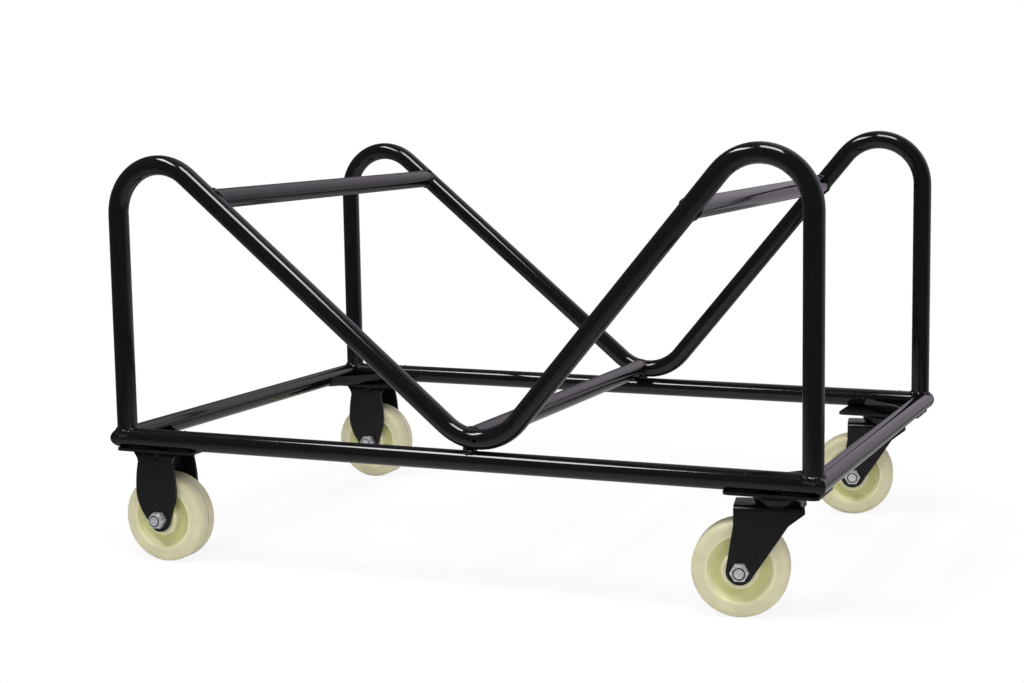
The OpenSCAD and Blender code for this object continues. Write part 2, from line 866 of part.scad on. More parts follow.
long_rail(front);  // front_rail
long_rail(rear);  // rear_rail
end_rail(left);  // left_rail
end_rail(right);  // right_rail
cradle_tube(front);  // front_cradle_tube
cradle_tube(rear);  // rear_cradle_tube
upper_left_bar();
upper_right_bar();
lower_bar();
valley_welds();
gusset(left, front);  // front_left_gusset
gusset(left, rear);  // rear_left_gusset
gusset(right, front);  // front_right_gusset
gusset(right, rear);  // rear_right_gusset
castor_plate(left, front);  // front_left_plate
castor_plate(left, rear);  // rear_left_plate
castor_plate(right, front);  // front_right_plate
castor_plate(right, rear);  // rear_right_plate
fixed_fork(front);  // front_left_fork
fixed_fork(rear);  // rear_left_fork
swivel_fork(front);  // front_right_fork
swivel_fork(rear);  // rear_right_fork
upper_race(front);  // front_upper_race
upper_race(rear);  // rear_upper_race
ball_ring(front);  // front_ball_ring
ball_ring(rear);  // rear_ball_ring
kingpin(front);  // front_kingpin
kingpin(rear);  // rear_kingpin
thrust_washer(front);  // front_thrust_washer
thrust_washer(rear);  // rear_thrust_washer
axle_bolt(left, front);  // front_left_axle_bolt
axle_bolt(left, rear);  // rear_left_axle_bolt
axle_bolt(right, front);  // front_right_axle_bolt
axle_bolt(right, rear);  // rear_right_axle_bolt
sleeve(left, front);  // front_left_sleeve
sleeve(left, rear);  // rear_left_sleeve
sleeve(right, front);  // front_right_sleeve
sleeve(right, rear);  // rear_right_sleeve
lock_nut(left, front);  // front_left_lock_nut
lock_nut(left, rear);  // rear_left_lock_nut
lock_nut(right, front);  // front_right_lock_nut
lock_nut(right, rear);  // rear_right_lock_nut
nylon_ring(left, front);  // front_left_nylon_ring
nylon_ring(left, rear);  // rear_left_nylon_ring
nylon_ring(right, front);  // front_right_nylon_ring
nylon_ring(right, rear);  // rear_right_nylon_ring
wheel(left, front);  // front_left_wheel
wheel(left, rear);  // rear_left_wheel
wheel(right, front);  // front_right_wheel
wheel(right, rear);  // rear_right_wheel
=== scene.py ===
# %% [markdown]
# # A stacking chair trolley
# The real trolley is a welded frame of black tube on four castors. Its rigid pieces come from a
# CAD model, which is loaded first and never moved. This lesson gives every piece its finish, adds
# the weld beads that a CAD model leaves out, and sets up a plain white studio round the object.

# %% Load the CAD model
import json
import math

import bpy
import numpy as np
from mathutils import Matrix, Vector


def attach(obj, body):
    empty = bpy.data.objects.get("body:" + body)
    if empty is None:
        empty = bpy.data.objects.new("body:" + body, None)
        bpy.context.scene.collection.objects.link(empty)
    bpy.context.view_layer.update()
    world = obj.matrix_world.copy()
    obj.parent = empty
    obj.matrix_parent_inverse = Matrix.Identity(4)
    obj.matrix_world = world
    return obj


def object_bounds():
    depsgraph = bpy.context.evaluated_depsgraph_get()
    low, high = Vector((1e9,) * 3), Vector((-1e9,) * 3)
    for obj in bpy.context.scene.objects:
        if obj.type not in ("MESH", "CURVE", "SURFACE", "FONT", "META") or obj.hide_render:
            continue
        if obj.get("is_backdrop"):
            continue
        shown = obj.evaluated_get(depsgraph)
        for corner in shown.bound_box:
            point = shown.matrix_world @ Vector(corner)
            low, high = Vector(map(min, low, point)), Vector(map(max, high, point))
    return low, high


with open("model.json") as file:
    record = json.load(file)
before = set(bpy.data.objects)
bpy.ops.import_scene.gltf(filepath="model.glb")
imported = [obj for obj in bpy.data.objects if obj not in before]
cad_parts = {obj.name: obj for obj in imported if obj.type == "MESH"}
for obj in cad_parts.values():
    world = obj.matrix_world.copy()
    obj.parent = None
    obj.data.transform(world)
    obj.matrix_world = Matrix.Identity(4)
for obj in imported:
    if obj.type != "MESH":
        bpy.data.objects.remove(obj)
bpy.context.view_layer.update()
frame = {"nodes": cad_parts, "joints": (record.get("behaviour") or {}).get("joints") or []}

cad_nodes = frame["nodes"]

# %% [markdown]
# ## The camera
# A product photograph like this is taken from about two metres with a medium telephoto lens. The
# lens is written as its focal length in pixels of a 1024 pixel wide picture, which is how a camera
# is solved from points, and turned into millimetres on Blender's 36 mm sensor. A shift stands for
# the crop of the original picture: it slides the frame without turning the camera.

# %% Camera
MM = 0.001
PICTURE_W = 1024
FOCAL_PX = 1773.7
SENSOR_W = 36
SHIFT_X, SHIFT_Y = -0.160, -0.031
CAMERA_PLACE = Vector((844.0, -1910.1, 520.2)) * MM
YAW, PITCH, ROLL = math.radians(19.511), math.radians(6.845), math.radians(-0.292)
FAR_CLIP = 50

camera_data = bpy.data.cameras.new("camera")
camera_data.sensor_width = SENSOR_W
camera_data.lens = FOCAL_PX / PICTURE_W * SENSOR_W
camera_data.shift_x = SHIFT_X
camera_data.shift_y = SHIFT_Y
camera_data.clip_end = FAR_CLIP
camera = bpy.data.objects.new("camera", camera_data)
bpy.context.scene.collection.objects.link(camera)
camera.matrix_world = (
    Matrix.Translation(CAMERA_PLACE)
    @ Matrix.Rotation(YAW, 4, "Z")
    @ Matrix.Rotation(math.pi / 2 - PITCH, 4, "X")
    @ Matrix.Rotation(ROLL, 4, "Z")
)
bpy.context.scene.camera = camera
print("camera lens", round(camera_data.lens, 2), "mm")

# %% [markdown]
# ## A way to write node trees
# Blender's materials are graphs. Writing one by hand takes a line to add a node, one for each
# setting and one for each link. A single small function does all three: a value that is a socket
# becomes a link, and any other value is set on the input itself. Colours are written as sRGB hex
# codes, as a paint chart gives them, and turned to the linear values that a renderer works in.

# %% Node and colour helpers
def srgb(code):
    """Linear RGBA of a hex code: each channel goes through the sRGB curve, a line and then a power."""
    value = np.array([int(code[i:i + 2], 16) for i in (1, 3, 5)]) / 255
    linear = np.where(value <= 0.04045, value / 12.92, ((value + 0.055) / 1.055) ** 2.4)
    return (*linear.tolist(), 1.0)


def add(tree, kind, inputs=None, **settings):
    """Adds a node with its settings. An input is linked if its value is a socket, or else set."""
    node = tree.nodes.new(kind)
    for name, value in settings.items():
        setattr(node, name, value)
    for name, value in (inputs or {}).items():
        if isinstance(value, bpy.types.NodeSocket):
            tree.links.new(value, node.inputs[name])
        else:
            node.inputs[name].default_value = value
    return node


def new_material(name):
    """An empty material, its tree, and the socket of its Object coordinates, in metres."""
    material = bpy.data.materials.new(name)
    material.use_nodes = True
    tree = material.node_tree
    tree.nodes.clear()
    place = add(tree, "ShaderNodeTexCoord").outputs["Object"]
    return material, tree, place


def per_mm(size):
    """Scale of a pattern whose features are that many millimetres apart, on coordinates in metres."""
    return 1 / (size * MM)


print("black", srgb("#0E0E0F"))

# %% [markdown]
# ## The studio
# The photograph's background is pure white. A white floor that is lit strongly enough to clip would
# also flood the object with light, so the floor is lit at a plain level, and what the camera sees of
# it is lifted towards white through the Light Path node. Near the object about an eighth of the
# floor's own shading is kept, which leaves a faint shadow under the wheels. The floor is a disc, and
# that eighth fades to nothing a little way out, so the camera sees plain white from there on.
# Mirror-like reflections see a soft glow in place of the white. It is about half as bright near the
# object and grows dimmer further out, so that the underside of a black tube shades off softly.

# %% Floor
FLOOR_R = 1.3
FLOOR_SIDES = 96
SHADOW_SHARE = 0.13
FADE_START, FADE_STOP = 0.48, 0.66
DIM_START = 0.1
MIDDLE_BRIGHTNESS, EDGE_BRIGHTNESS = 0.55, 0.13

rim = np.linspace(0, 2 * np.pi, FLOOR_SIDES, endpoint=False)
disc = np.stack([np.cos(rim), np.sin(rim), 0 * rim], 1) * FLOOR_R
floor_mesh = bpy.data.meshes.new("floor")
floor_mesh.from_pydata(disc.tolist(), [], [tuple(range(FLOOR_SIDES))])
floor = bpy.data.objects.new("floor", floor_mesh)
bpy.context.scene.collection.objects.link(floor)
floor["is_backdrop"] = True

floor_paint, tree, place = new_material("white studio floor")
path = add(tree, "ShaderNodeLightPath")
mirror_rays = add(tree, "ShaderNodeMath", {
    0: path.outputs["Is Glossy Ray"], 1: path.outputs["Is Transmission Ray"]},
    operation="MAXIMUM")
seen_rays = add(tree, "ShaderNodeMath", {
    0: path.outputs["Is Camera Ray"], 1: mirror_rays.outputs[0]}, operation="MAXIMUM")
reach = add(tree, "ShaderNodeVectorMath", {0: place}, operation="LENGTH")
lift = add(tree, "ShaderNodeMapRange", {
    "Value": reach.outputs["Value"], "From Min": FADE_START, "From Max": FADE_STOP,
    "To Min": 1 - SHADOW_SHARE, "To Max": 1.0}, interpolation_type="SMOOTHSTEP")
share = add(tree, "ShaderNodeMath", {0: seen_rays.outputs[0], 1: lift.outputs[0]},
            operation="MULTIPLY")
dimmer = add(tree, "ShaderNodeMapRange", {
    "Value": reach.outputs["Value"], "From Min": DIM_START, "From Max": FLOOR_R,
    "To Min": MIDDLE_BRIGHTNESS, "To Max": EDGE_BRIGHTNESS})
strength = add(tree, "ShaderNodeMath", {
    0: path.outputs["Is Camera Ray"], 1: dimmer.outputs[0]}, operation="MAXIMUM")
matt = add(tree, "ShaderNodeBsdfDiffuse", {"Color": srgb("#F4F4F4")})
white = add(tree, "ShaderNodeEmission", {
    "Color": srgb("#FFFFFF"), "Strength": strength.outputs[0]})
mixed = add(tree, "ShaderNodeMixShader", {
    "Fac": share.outputs[0], 1: matt.outputs[0], 2: white.outputs[0]})
add(tree, "ShaderNodeOutputMaterial", {"Surface": mixed.outputs[0]})
floor_mesh.materials.append(floor_paint)
print("floor", 2 * FLOOR_R, "m across")

# %% [markdown]
# ## The room
# Gloss black paint is hardly seen by its own colour: it shows the room. The posts in the photograph
# are nearly black, because they face the dark side of the studio, and the bars that run away from
# the camera are grey, because they show a pale wall behind. The world does the same for every ray
# but the camera's: it is dim in front and at the left, and behind it grows brighter to the right and
# from the horizon upwards, with a trace of violet that the photograph's bars have too.

# %% World
ROOM_FRONT, ROOM_BACK = 0.11, 0.7
HORIZON_SHARE = 0.6
BACK_START, BACK_STOP = -0.2, 0.8
RISE_START, RISE_STOP = -0.05, 0.35
RIGHT_START, RIGHT_STOP = -0.6, 0.1


def rise(tree, value, start, stop, low, high):
    """Smooth step of a value from low, at the start, to high, at the stop."""
    node = add(tree, "ShaderNodeMapRange", {
        "Value": value, "From Min": start, "From Max": stop, "To Min": low, "To Max": high},
        interpolation_type="SMOOTHSTEP")
    return node.outputs[0]


world = bpy.data.worlds.new("studio room")
bpy.context.scene.world = world
world.use_nodes = True
tree = world.node_tree
tree.nodes.clear()
direction = add(tree, "ShaderNodeSeparateXYZ", {
    "Vector": add(tree, "ShaderNodeTexCoord").outputs["Generated"]})
behind = rise(tree, direction.outputs["Y"], BACK_START, BACK_STOP, 0.0, ROOM_BACK)
raised = rise(tree, direction.outputs["Z"], RISE_START, RISE_STOP, HORIZON_SHARE, 1.0)
sideways = rise(tree, direction.outputs["X"], RIGHT_START, RIGHT_STOP, 0.0, 1.0)
high = add(tree, "ShaderNodeMath", {0: behind, 1: raised}, operation="MULTIPLY")
wall = add(tree, "ShaderNodeMath", {0: high.outputs[0], 1: sideways}, operation="MULTIPLY")
room = add(tree, "ShaderNodeMath", {0: wall.outputs[0], 1: ROOM_FRONT}, operation="ADD")
path = add(tree, "ShaderNodeLightPath")
seen = add(tree, "ShaderNodeMath", {0: path.outputs["Is Camera Ray"], 1: room.outputs[0]},
           operation="MAXIMUM")
tint = add(tree, "ShaderNodeMix", {
    "Factor": path.outputs["Is Camera Ray"], "A": srgb("#FBF1FF"), "B": srgb("#FFFFFF")},
    data_type="RGBA")
sky = add(tree, "ShaderNodeBackground", {
    "Color": tint.outputs["Result"], "Strength": seen.outputs[0]})
add(tree, "ShaderNodeOutputWorld", {"Surface": sky.outputs[0]})
print("room brightness: front", ROOM_FRONT, "back", ROOM_FRONT + ROOM_BACK)

# %% [markdown]
# ## The lamps
# The thin white line along the front rail is the reflection of a long strip softbox. Where the line
# lies on the round tube tells where the lamp is: high on the left, and running towards the camera. A
# second softbox overhead draws the lines on the slopes and the second glint in each bend. Three wide
# lamps fill the castors. They are hidden from mirror-like reflections, so they light the nylon but
# draw no line of their own on the gloss paint. Each lamp's power is worked out from how bright its
# surface should look, times pi and its area, so that making a lamp larger doesn't change the
# brightness of its reflection.

# %% Lamps
SOFTBOX_HEIGHT = 2.7
FRONT_TUBES = (0.0, -0.2, 0.2)
RIGHT_END = (0.2, 0.0, 0.2)
BASE = (0.0, 0.0, 0.15)


def softbox(name, place, target, size, brightness, run=(1, 0, 0), mirrored=True):
    """Rectangular lamp that faces a point, with its length along run as nearly as it can be.

    Its power is its brightness times pi times its area. Places and sizes are in metres."""
    lamp = bpy.data.lights.new(name, "AREA")
    lamp.shape = "RECTANGLE"
    lamp.size, lamp.size_y = size
    lamp.energy = brightness * math.pi * size[0] * size[1]
    thing = bpy.data.objects.new(name, lamp)
    bpy.context.scene.collection.objects.link(thing)
    toward = (Vector(target) - Vector(place)).normalized()
    along = (Vector(run) - toward * toward.dot(Vector(run))).normalized()
    turn = Matrix((along, along.cross(toward), -toward)).transposed()
    thing.matrix_world = Matrix.Translation(place) @ turn.to_4x4()
    thing.visible_glossy = mirrored
    print(name, round(lamp.energy, 1), "W")


softbox("key strip", (-1.25, -1.22, SOFTBOX_HEIGHT), FRONT_TUBES, size=(1.55, 0.45), brightness=17,
        run=(0.45, -0.89, 0))
softbox("top lamp", (0.25, -1.12, SOFTBOX_HEIGHT), FRONT_TUBES, size=(1.0, 0.9), brightness=13)
softbox("front fill", (1.4, -4.2, 1.9), BASE, size=(2.6, 2.0), brightness=3.3, mirrored=False)
softbox("right fill", (2.6, -1.0, 1.4), RIGHT_END, size=(1.0, 1.2), brightness=4.4, mirrored=False)
softbox("back fill", (-0.6, 2.6, 1.3), BASE, size=(1.6, 1.2), brightness=4.0, mirrored=False)

# %% [markdown]
# ## Gloss black powder coat
# Powder coat is a plastic powder that is melted on to the steel. It flows out glossy, but never
# quite flat: a fine ripple, called orange peel, breaks up the edges of reflections. The ripple is
# about a millimetre and a half wide on the real tube, which is under two pixels here, so it is drawn
# at three. A second, broad noise varies the gloss a little, as handling and dust do.

# %% Powder coat
NOISE_LOW, NOISE_HIGH = 0.3, 0.7
BUMP_DEPTH = 0.1 * MM
PAINT_IOR = 1.5
PEEL, HANDLING = 3, 45
PEEL_STRENGTH = 0.004


def noise(tree, place, size, detail):
    """Noise whose features are that many millimetres apart, with that many finer layers on it."""
    node = add(tree, "ShaderNodeTexNoise", {
        "Vector": place, "Scale": per_mm(size), "Detail": detail})
    return node.outputs["Fac"]


def spread(tree, value, low, high):
    """Stretches the middle of a noise, where nearly all of it lies, to run from low to high."""
    node = add(tree, "ShaderNodeMapRange", {
        "Value": value, "From Min": NOISE_LOW, "From Max": NOISE_HIGH,
        "To Min": low, "To Max": high})
    return node.outputs[0]


def blend(tree, share, first, second):
    """Colour that goes from the first hex code to the second as the share goes from 0 to 1."""
    node = add(tree, "ShaderNodeMix", {
        "Factor": share, "A": srgb(first), "B": srgb(second)}, data_type="RGBA")
    return node.outputs["Result"]


def powder_coat():
    """Near-black paint: a fine noise tilts its surface and a broad one varies gloss and colour."""
    material, tree, place = new_material("gloss black powder coat")
    peel = noise(tree, place, PEEL, detail=1.0)
    ripple = add(tree, "ShaderNodeBump", {
        "Height": peel, "Strength": PEEL_STRENGTH, "Distance": BUMP_DEPTH})
    patch = noise(tree, place, HANDLING, detail=3.0)
    paint = add(tree, "ShaderNodeBsdfPrincipled", {
        "Base Color": blend(tree, patch, "#070708", "#0E0E0F"),
        "Roughness": spread(tree, patch, low=0.07, high=0.13),
        "Normal": ripple.outputs[0], "IOR": PAINT_IOR})
    add(tree, "ShaderNodeOutputMaterial", {"Surface": paint.outputs[0]})
    return material


TUBE_PAINT = powder_coat()
print(TUBE_PAINT.name)

# %% [markdown]
# ## Satin black paint on the castors
# The pressed forks and plates are bought ready painted, and their paint is flatter than the frame's.
# Pressed sheet has edges rounded by the tool. The CAD edges are sharp, so the Bevel node bends the
# shading over half a millimetre at each edge, which catches the light as the real edge does.

# %% Castor paint
GRAIN, SHEEN = 2, 25
GRAIN_STRENGTH = 0.12
PRESSED_EDGE = 0.5 * MM
BEVEL_SAMPLES = 4
SATIN_SHINE = 0.36


def castor_paint():
    """Satin near-black: rougher than the tubes, with a fine grain and softened edges."""
    material, tree, place = new_material("satin black castor paint")
    edge = add(tree, "ShaderNodeBevel", {"Radius": PRESSED_EDGE}, samples=BEVEL_SAMPLES)
    bump = add(tree, "ShaderNodeBump", {
        "Height": noise(tree, place, GRAIN, detail=2.0), "Strength": GRAIN_STRENGTH,
        "Distance": BUMP_DEPTH, "Normal": edge.outputs[0]})
    patch = noise(tree, place, SHEEN, detail=3.0)
    paint = add(tree, "ShaderNodeBsdfPrincipled", {
        "Base Color": blend(tree, patch, "#0A0A0A", "#121212"),
        "Roughness": spread(tree, patch, low=0.20, high=0.30),
        "Normal": bump.outputs[0], "IOR": PAINT_IOR, "Specular IOR Level": SATIN_SHINE})
    add(tree, "ShaderNodeOutputMaterial", {"Surface": paint.outputs[0]})
    return material


CASTOR_PAINT = castor_paint()
print(CASTOR_PAINT.name)

# %% [markdown]
# ## Bright zinc and bare steel
# The axle bolts and nuts are zinc plated: a bright grey metal with a slightly uneven gloss from the
# plating bath, under a thin chalky film. The kingpins and sleeves are oiled steel. Both are the same
# kind of surface with other colours and roughness, so one function makes them.

# %% Metals
PLATING_CLOUD = 4
METAL_EDGE = 0.3 * MM


def plated(name, light, dark, smooth, rough, bare):
    """Metal whose colour and roughness wander between two values with a noise of a few millimetres.

    The bare share shines as metal, and the rest scatters light as a thin chalky film does."""
    material, tree, place = new_material(name)
    cloud = noise(tree, place, PLATING_CLOUD, detail=3.0)
    edge = add(tree, "ShaderNodeBevel", {"Radius": METAL_EDGE}, samples=BEVEL_SAMPLES)
    metal = add(tree, "ShaderNodeBsdfPrincipled", {
        "Base Color": blend(tree, cloud, light, dark),
        "Roughness": spread(tree, cloud, low=smooth, high=rough),
        "Normal": edge.outputs[0], "Metallic": bare})
    add(tree, "ShaderNodeOutputMaterial", {"Surface": metal.outputs[0]})
    return material


ZINC = plated("bright zinc plate", "#EEEFF0", "#C8CACC", smooth=0.16, rough=0.30, bare=0.72)
STEEL = plated("oiled bare steel", "#77777A", "#4E4E52", smooth=0.28, rough=0.45, bare=1.0)
print(ZINC.name, "and", STEEL.name)

# %% [markdown]
# ## Nylon
# The wheels are moulded nylon, a waxy cream plastic that lets a little light in. The thick rim looks
# paler than the web, where the light that has passed through the plastic turns yellow-green. That
# yellow-green is painted into the web's colour: it is painted shade, and painted light that has come
# through the plastic. The drafted wall of the recess is painted lighter, a painted highlight against
# the shade that falls there. So the colour follows the distance from the axle. Each wheel has its own
# place and turn, so a Mapping node puts the axle at zero and along Y before the distance is taken.
# The two halves of the mould leave a thin dark line round the middle of the tread.

# %% Wheel nylon
WHEEL_R = 50
MOTTLE, SCUFF, RING_MOTTLE = 18, 3, 3
SCUFF_STRENGTH = 0.1
PARTING_HALF, PARTING_FADE = 0.3 * MM, 0.7 * MM
PARTING_SHADE = 0.6
NYLON_IOR = 1.53
WAX_SHARE, WAX_DEPTH = 0.6, 6 * MM
WAX_COLOURS = (1.0, 0.9, 0.5)
# Colours by share of the wheel's radius. The yellow-green web, 0.43 to 0.55, is painted shade and painted
# light through the plastic. The pale band at 0.61 to 0.66 is a painted highlight on the recess wall, set
# against its shade.
WHEEL_BANDS_WITH_PAINTED_LIGHT = [
    (0.30, "#CECBAC"), (0.38, "#D2D0AA"), (0.43, "#C9CA8E"), (0.55, "#C9CA8E"),
    (0.61, "#E2E1B4"), (0.66, "#DEDCB4"), (0.76, "#CECBAA"), (1.0, "#CBC8A6"),
]


def wheel_bands_with_painted_light(tree, reach):
    """Colour ramp over the distance from the axle, as a share of the wheel's radius, with painted shade
    in the web and a painted highlight on the recess wall.
    """
    bands = add(tree, "ShaderNodeValToRGB", {"Fac": reach})
    ramp = bands.color_ramp
    while len(ramp.elements) < len(WHEEL_BANDS_WITH_PAINTED_LIGHT):
        ramp.elements.new(0.5)
    for element, (at, code) in zip(ramp.elements, WHEEL_BANDS_WITH_PAINTED_LIGHT):
        element.position = at
        element.color = srgb(code)
    return bands.outputs["Color"]


def parting_line(tree, local):
    """Shade that is darker near the middle plane of the wheel, where Y is zero."""
    sides = add(tree, "ShaderNodeSeparateXYZ", {"Vector": local})
    off_middle = add(tree, "ShaderNodeMath", {0: sides.outputs["Y"]}, operation="ABSOLUTE")
    line = add(tree, "ShaderNodeMapRange", {
        "Value": off_middle.outputs[0], "From Min": PARTING_HALF, "From Max": PARTING_FADE,
        "To Min": PARTING_SHADE, "To Max": 1.0})
    return line.outputs[0]


def wheel_nylon(name, centre, turn):
    """Cream nylon, coloured by the distance from an axle through centre that is turned about Z, with
    painted shade and a painted highlight in its colour bands.
    """
    material, tree, place = new_material(name)
    local = add(tree, "ShaderNodeMapping", {
        "Vector": place, "Location": centre, "Rotation": (0, 0, turn)}, vector_type="TEXTURE")
    flat = add(tree, "ShaderNodeVectorMath", {
        0: local.outputs[0], 1: (per_mm(WHEEL_R), 0.0, per_mm(WHEEL_R))}, operation="MULTIPLY")
    reach = add(tree, "ShaderNodeVectorMath", {0: flat.outputs[0]}, operation="LENGTH")
    mottle = spread(tree, noise(tree, place, MOTTLE, detail=4.0), low=0.94, high=1.04)
    shade = add(tree, "ShaderNodeMath", {0: mottle, 1: parting_line(tree, local.outputs[0])},
                operation="MULTIPLY")
    tone = add(tree, "ShaderNodeVectorMath", {
        0: wheel_bands_with_painted_light(tree, reach.outputs["Value"]), "Scale": shade.outputs[0]}, operation="SCALE")
    scuff = noise(tree, place, SCUFF, detail=2.0)
    bump = add(tree, "ShaderNodeBump", {
        "Height": scuff, "Strength": SCUFF_STRENGTH, "Distance": BUMP_DEPTH})
    nylon = add(tree, "ShaderNodeBsdfPrincipled", {
        "Base Color": tone.outputs[0], "Roughness": spread(tree, scuff, low=0.34, high=0.5),
        "Normal": bump.outputs[0], "IOR": NYLON_IOR, "Subsurface Weight": WAX_SHARE,
        "Subsurface Radius": WAX_COLOURS, "Subsurface Scale": WAX_DEPTH})
    add(tree, "ShaderNodeOutputMaterial", {"Surface": nylon.outputs[0]})
    return material


def ring_nylon():
    """Dark matt nylon with a faint mottle, for the rings in the lock nuts."""
    material, tree, place = new_material("dark nut nylon")
    cloud = noise(tree, place, RING_MOTTLE, detail=2.0)
    nylon = add(tree, "ShaderNodeBsdfPrincipled", {
        "Base Color": blend(tree, cloud, "#2A2B2E", "#3A3B3F"), "Roughness": 0.5,
        "IOR": NYLON_IOR})
    add(tree, "ShaderNodeOutputMaterial", {"Surface": nylon.outputs[0]})
    return material


NUT_NYLON = ring_nylon()
print(NUT_NYLON.name)

# %% [markdown]
# ## Dress the CAD pieces
# Every CAD node keeps its mesh and gets one finish. Which finish follows from the piece's name, and
# a wheel's place and turn follow from the joint that it spins on, so nothing is typed in twice.

# %% Finishes of the CAD nodes
def dress(node, material):
    """Puts one material on a CAD node in place of the plain one that came with it."""
    mesh = cad_nodes[node].data
    mesh.materials.clear()
    mesh.materials.append(material)


axles = {joint["child"]: joint for joint in frame["joints"] if joint["name"].endswith("wheel_spin")}
finish_of = {
    "rail": TUBE_PAINT, "tube": TUBE_PAINT, "bar": TUBE_PAINT, "welds": TUBE_PAINT,
    "gusset": TUBE_PAINT, "plate": CASTOR_PAINT, "fork": CASTOR_PAINT, "race": CASTOR_PAINT,
    "bolt": ZINC, "nut": ZINC, "washer": ZINC, "kingpin": STEEL, "sleeve": STEEL,
}
for node in cad_nodes:
    last = node.split("_")[-1]
    if last == "wheel":
        joint = axles[node]
        turn = math.atan2(-joint["axis"][0], joint["axis"][1])
        dress(node, wheel_nylon("cream nylon " + node, joint["pos_m"], turn))
    elif last == "ring":
        dress(node, NUT_NYLON if "nylon" in node else ZINC)
    else:
        dress(node, finish_of[last])
print("dressed", len(cad_nodes), "CAD nodes")

# %% [markdown]
# ## Weld beads
# The frame is joined by arc welds, which are painted over but still show as a row of small pools.
# Each bead is a tube along a seam. The seam comes from geometry: where the surface of one tube
# meets the next. The tube's radius swells once for every pool, and wanders a little, because no
# bead is even. Everything is worked out as whole arrays, one ring of points for each step along the
# seam.

# %% Bead surface
POOL = 4.2
STEPS_PER_POOL = 6
BEAD_SIDES = 12
POOL_SWELL, SLOW_WANDER, QUICK_WANDER = 0.10, 0.10, 0.07
SLOW_WAVES, QUICK_WAVES, QUICK_START = 2, 5, 2.1
LEAST_POOLS = 3
END_POWER, END_CLOSE = 8, 0.999


def unit(vectors):
    """Vectors scaled to length one."""
    return vectors / np.linalg.norm(vectors, axis=-1, keepdims=True)


def resample(points, count, closed):
    """Points at even distances along a path, by straight lines between the given points."""
    if closed:
        points = np.vstack([points, points[:1]])
    length = np.concatenate([[0], np.cumsum(np.linalg.norm(np.diff(points, axis=0), axis=1))])
    at = np.linspace(0, length[-1], count, endpoint=not closed)
    return np.stack([np.interp(at, length, column) for column in points.T], 1), at, length[-1]


def bead_points(seam, lean, size, closed):
    """Rings of points round a seam, in millimetres.

    The centre of a ring is the seam. Its first axis is the lean, made square to the seam, and its
    second the cross product of the two. The radius is the size times one plus a cosine for the pools
    and two slower sines. On an open seam it is also times the root of one less nearly all of the
    eighth power of the distance from the middle, which rounds both ends."""
    rough = np.linalg.norm(np.diff(seam, axis=0), axis=1).sum()
    pools = max(LEAST_POOLS, round(rough / POOL))
    both, along, length = resample(np.hstack([seam, lean]), pools * STEPS_PER_POOL, closed)
    centre, lean = both[:, :3], both[:, 3:]
    if closed:
        ahead = np.roll(centre, -1, 0) - np.roll(centre, 1, 0)
    else:
        ahead = np.gradient(centre, axis=0)
    ahead = unit(ahead)
    first = unit(lean - (lean * ahead).sum(1, keepdims=True) * ahead)
    second = np.cross(ahead, first)
    turn = 2 * np.pi * along / length
    radius = size * (1 + POOL_SWELL * np.cos(pools * turn)
                     + SLOW_WANDER * np.sin(SLOW_WAVES * turn + size)
                     + QUICK_WANDER * np.sin(QUICK_WAVES * turn + QUICK_START))
    if not closed:
        arch = 1 - END_CLOSE * np.abs(2 * along / length - 1) ** END_POWER
        radius = radius * np.sqrt(arch)
    angle = np.linspace(0, 2 * np.pi, BEAD_SIDES, endpoint=False)
    ring = first[:, None] * np.cos(angle)[:, None] + second[:, None] * np.sin(angle)[:, None]
    return centre[:, None] + radius[:, None, None] * ring


def ring_faces(rows, closed):
    """Quads from each ring to the next, and on an open bead a flat end of all the ring's points."""
    row = np.arange(rows if closed else rows - 1)[:, None]
    side = np.arange(BEAD_SIDES)[None, :]
    after = (side + 1) % BEAD_SIDES
    following = (row + 1) % rows
    quads = np.stack([row * BEAD_SIDES + side, row * BEAD_SIDES + after,
                      following * BEAD_SIDES + after, following * BEAD_SIDES + side], -1)
    faces = quads.reshape(-1, 4).tolist()
    if not closed:
        faces.append(list(range(BEAD_SIDES))[::-1])
        faces.append(list(range((rows - 1) * BEAD_SIDES, rows * BEAD_SIDES)))
    return faces


def weld_piece(name, beads, body="frame"):
    """One object of several beads. Each bead is (seam, lean, size, closed), in millimetres."""
    points, faces = [], []
    start = 0
    for seam, lean, size, closed in beads:
        rings = bead_points(seam, lean, size, closed)
        faces += [[start + i for i in face] for face in ring_faces(len(rings), closed)]
        points.append(rings.reshape(-1, 3))
        start += rings.shape[0] * BEAD_SIDES
    mesh = bpy.data.meshes.new(name)
    mesh.from_pydata((np.vstack(points) * MM).tolist(), [], faces)
    mesh.polygons.foreach_set("use_smooth", np.ones(len(mesh.polygons), bool))
    mesh.materials.append(TUBE_PAINT)
    piece = bpy.data.objects.new(name, mesh)
    bpy.context.scene.collection.objects.link(piece)
    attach(piece, body)
    print(name, len(beads), "beads,", len(mesh.polygons), "faces")


# %% [markdown]
# ## Welds at the feet of the posts
# A post stands on the corner of two mitred rails. At each angle round the post, the seam's height is
# that of the rail's round top under it: the long rail's on one side of the mitre, and the end rail's
# on the other. The bead leans out between the post's side and the rail's top.

# %% Foot welds
TUBE_R = 11
RAIL_X, RAIL_Y, RAIL_Z = 404, 256, 141.5
POST_X = 400
FOOT_FILL, FOOT_SINK, FOOT_BEAD_R = 6.0, 3.0, 4.8
LEAST_RISE = 1.0
SEAM_POINTS = 120
around = np.linspace(0, 2 * np.pi, SEAM_POINTS, endpoint=False)
CORNERS = [(end, side) for end in (-1, 1) for side in (-1, 1)]


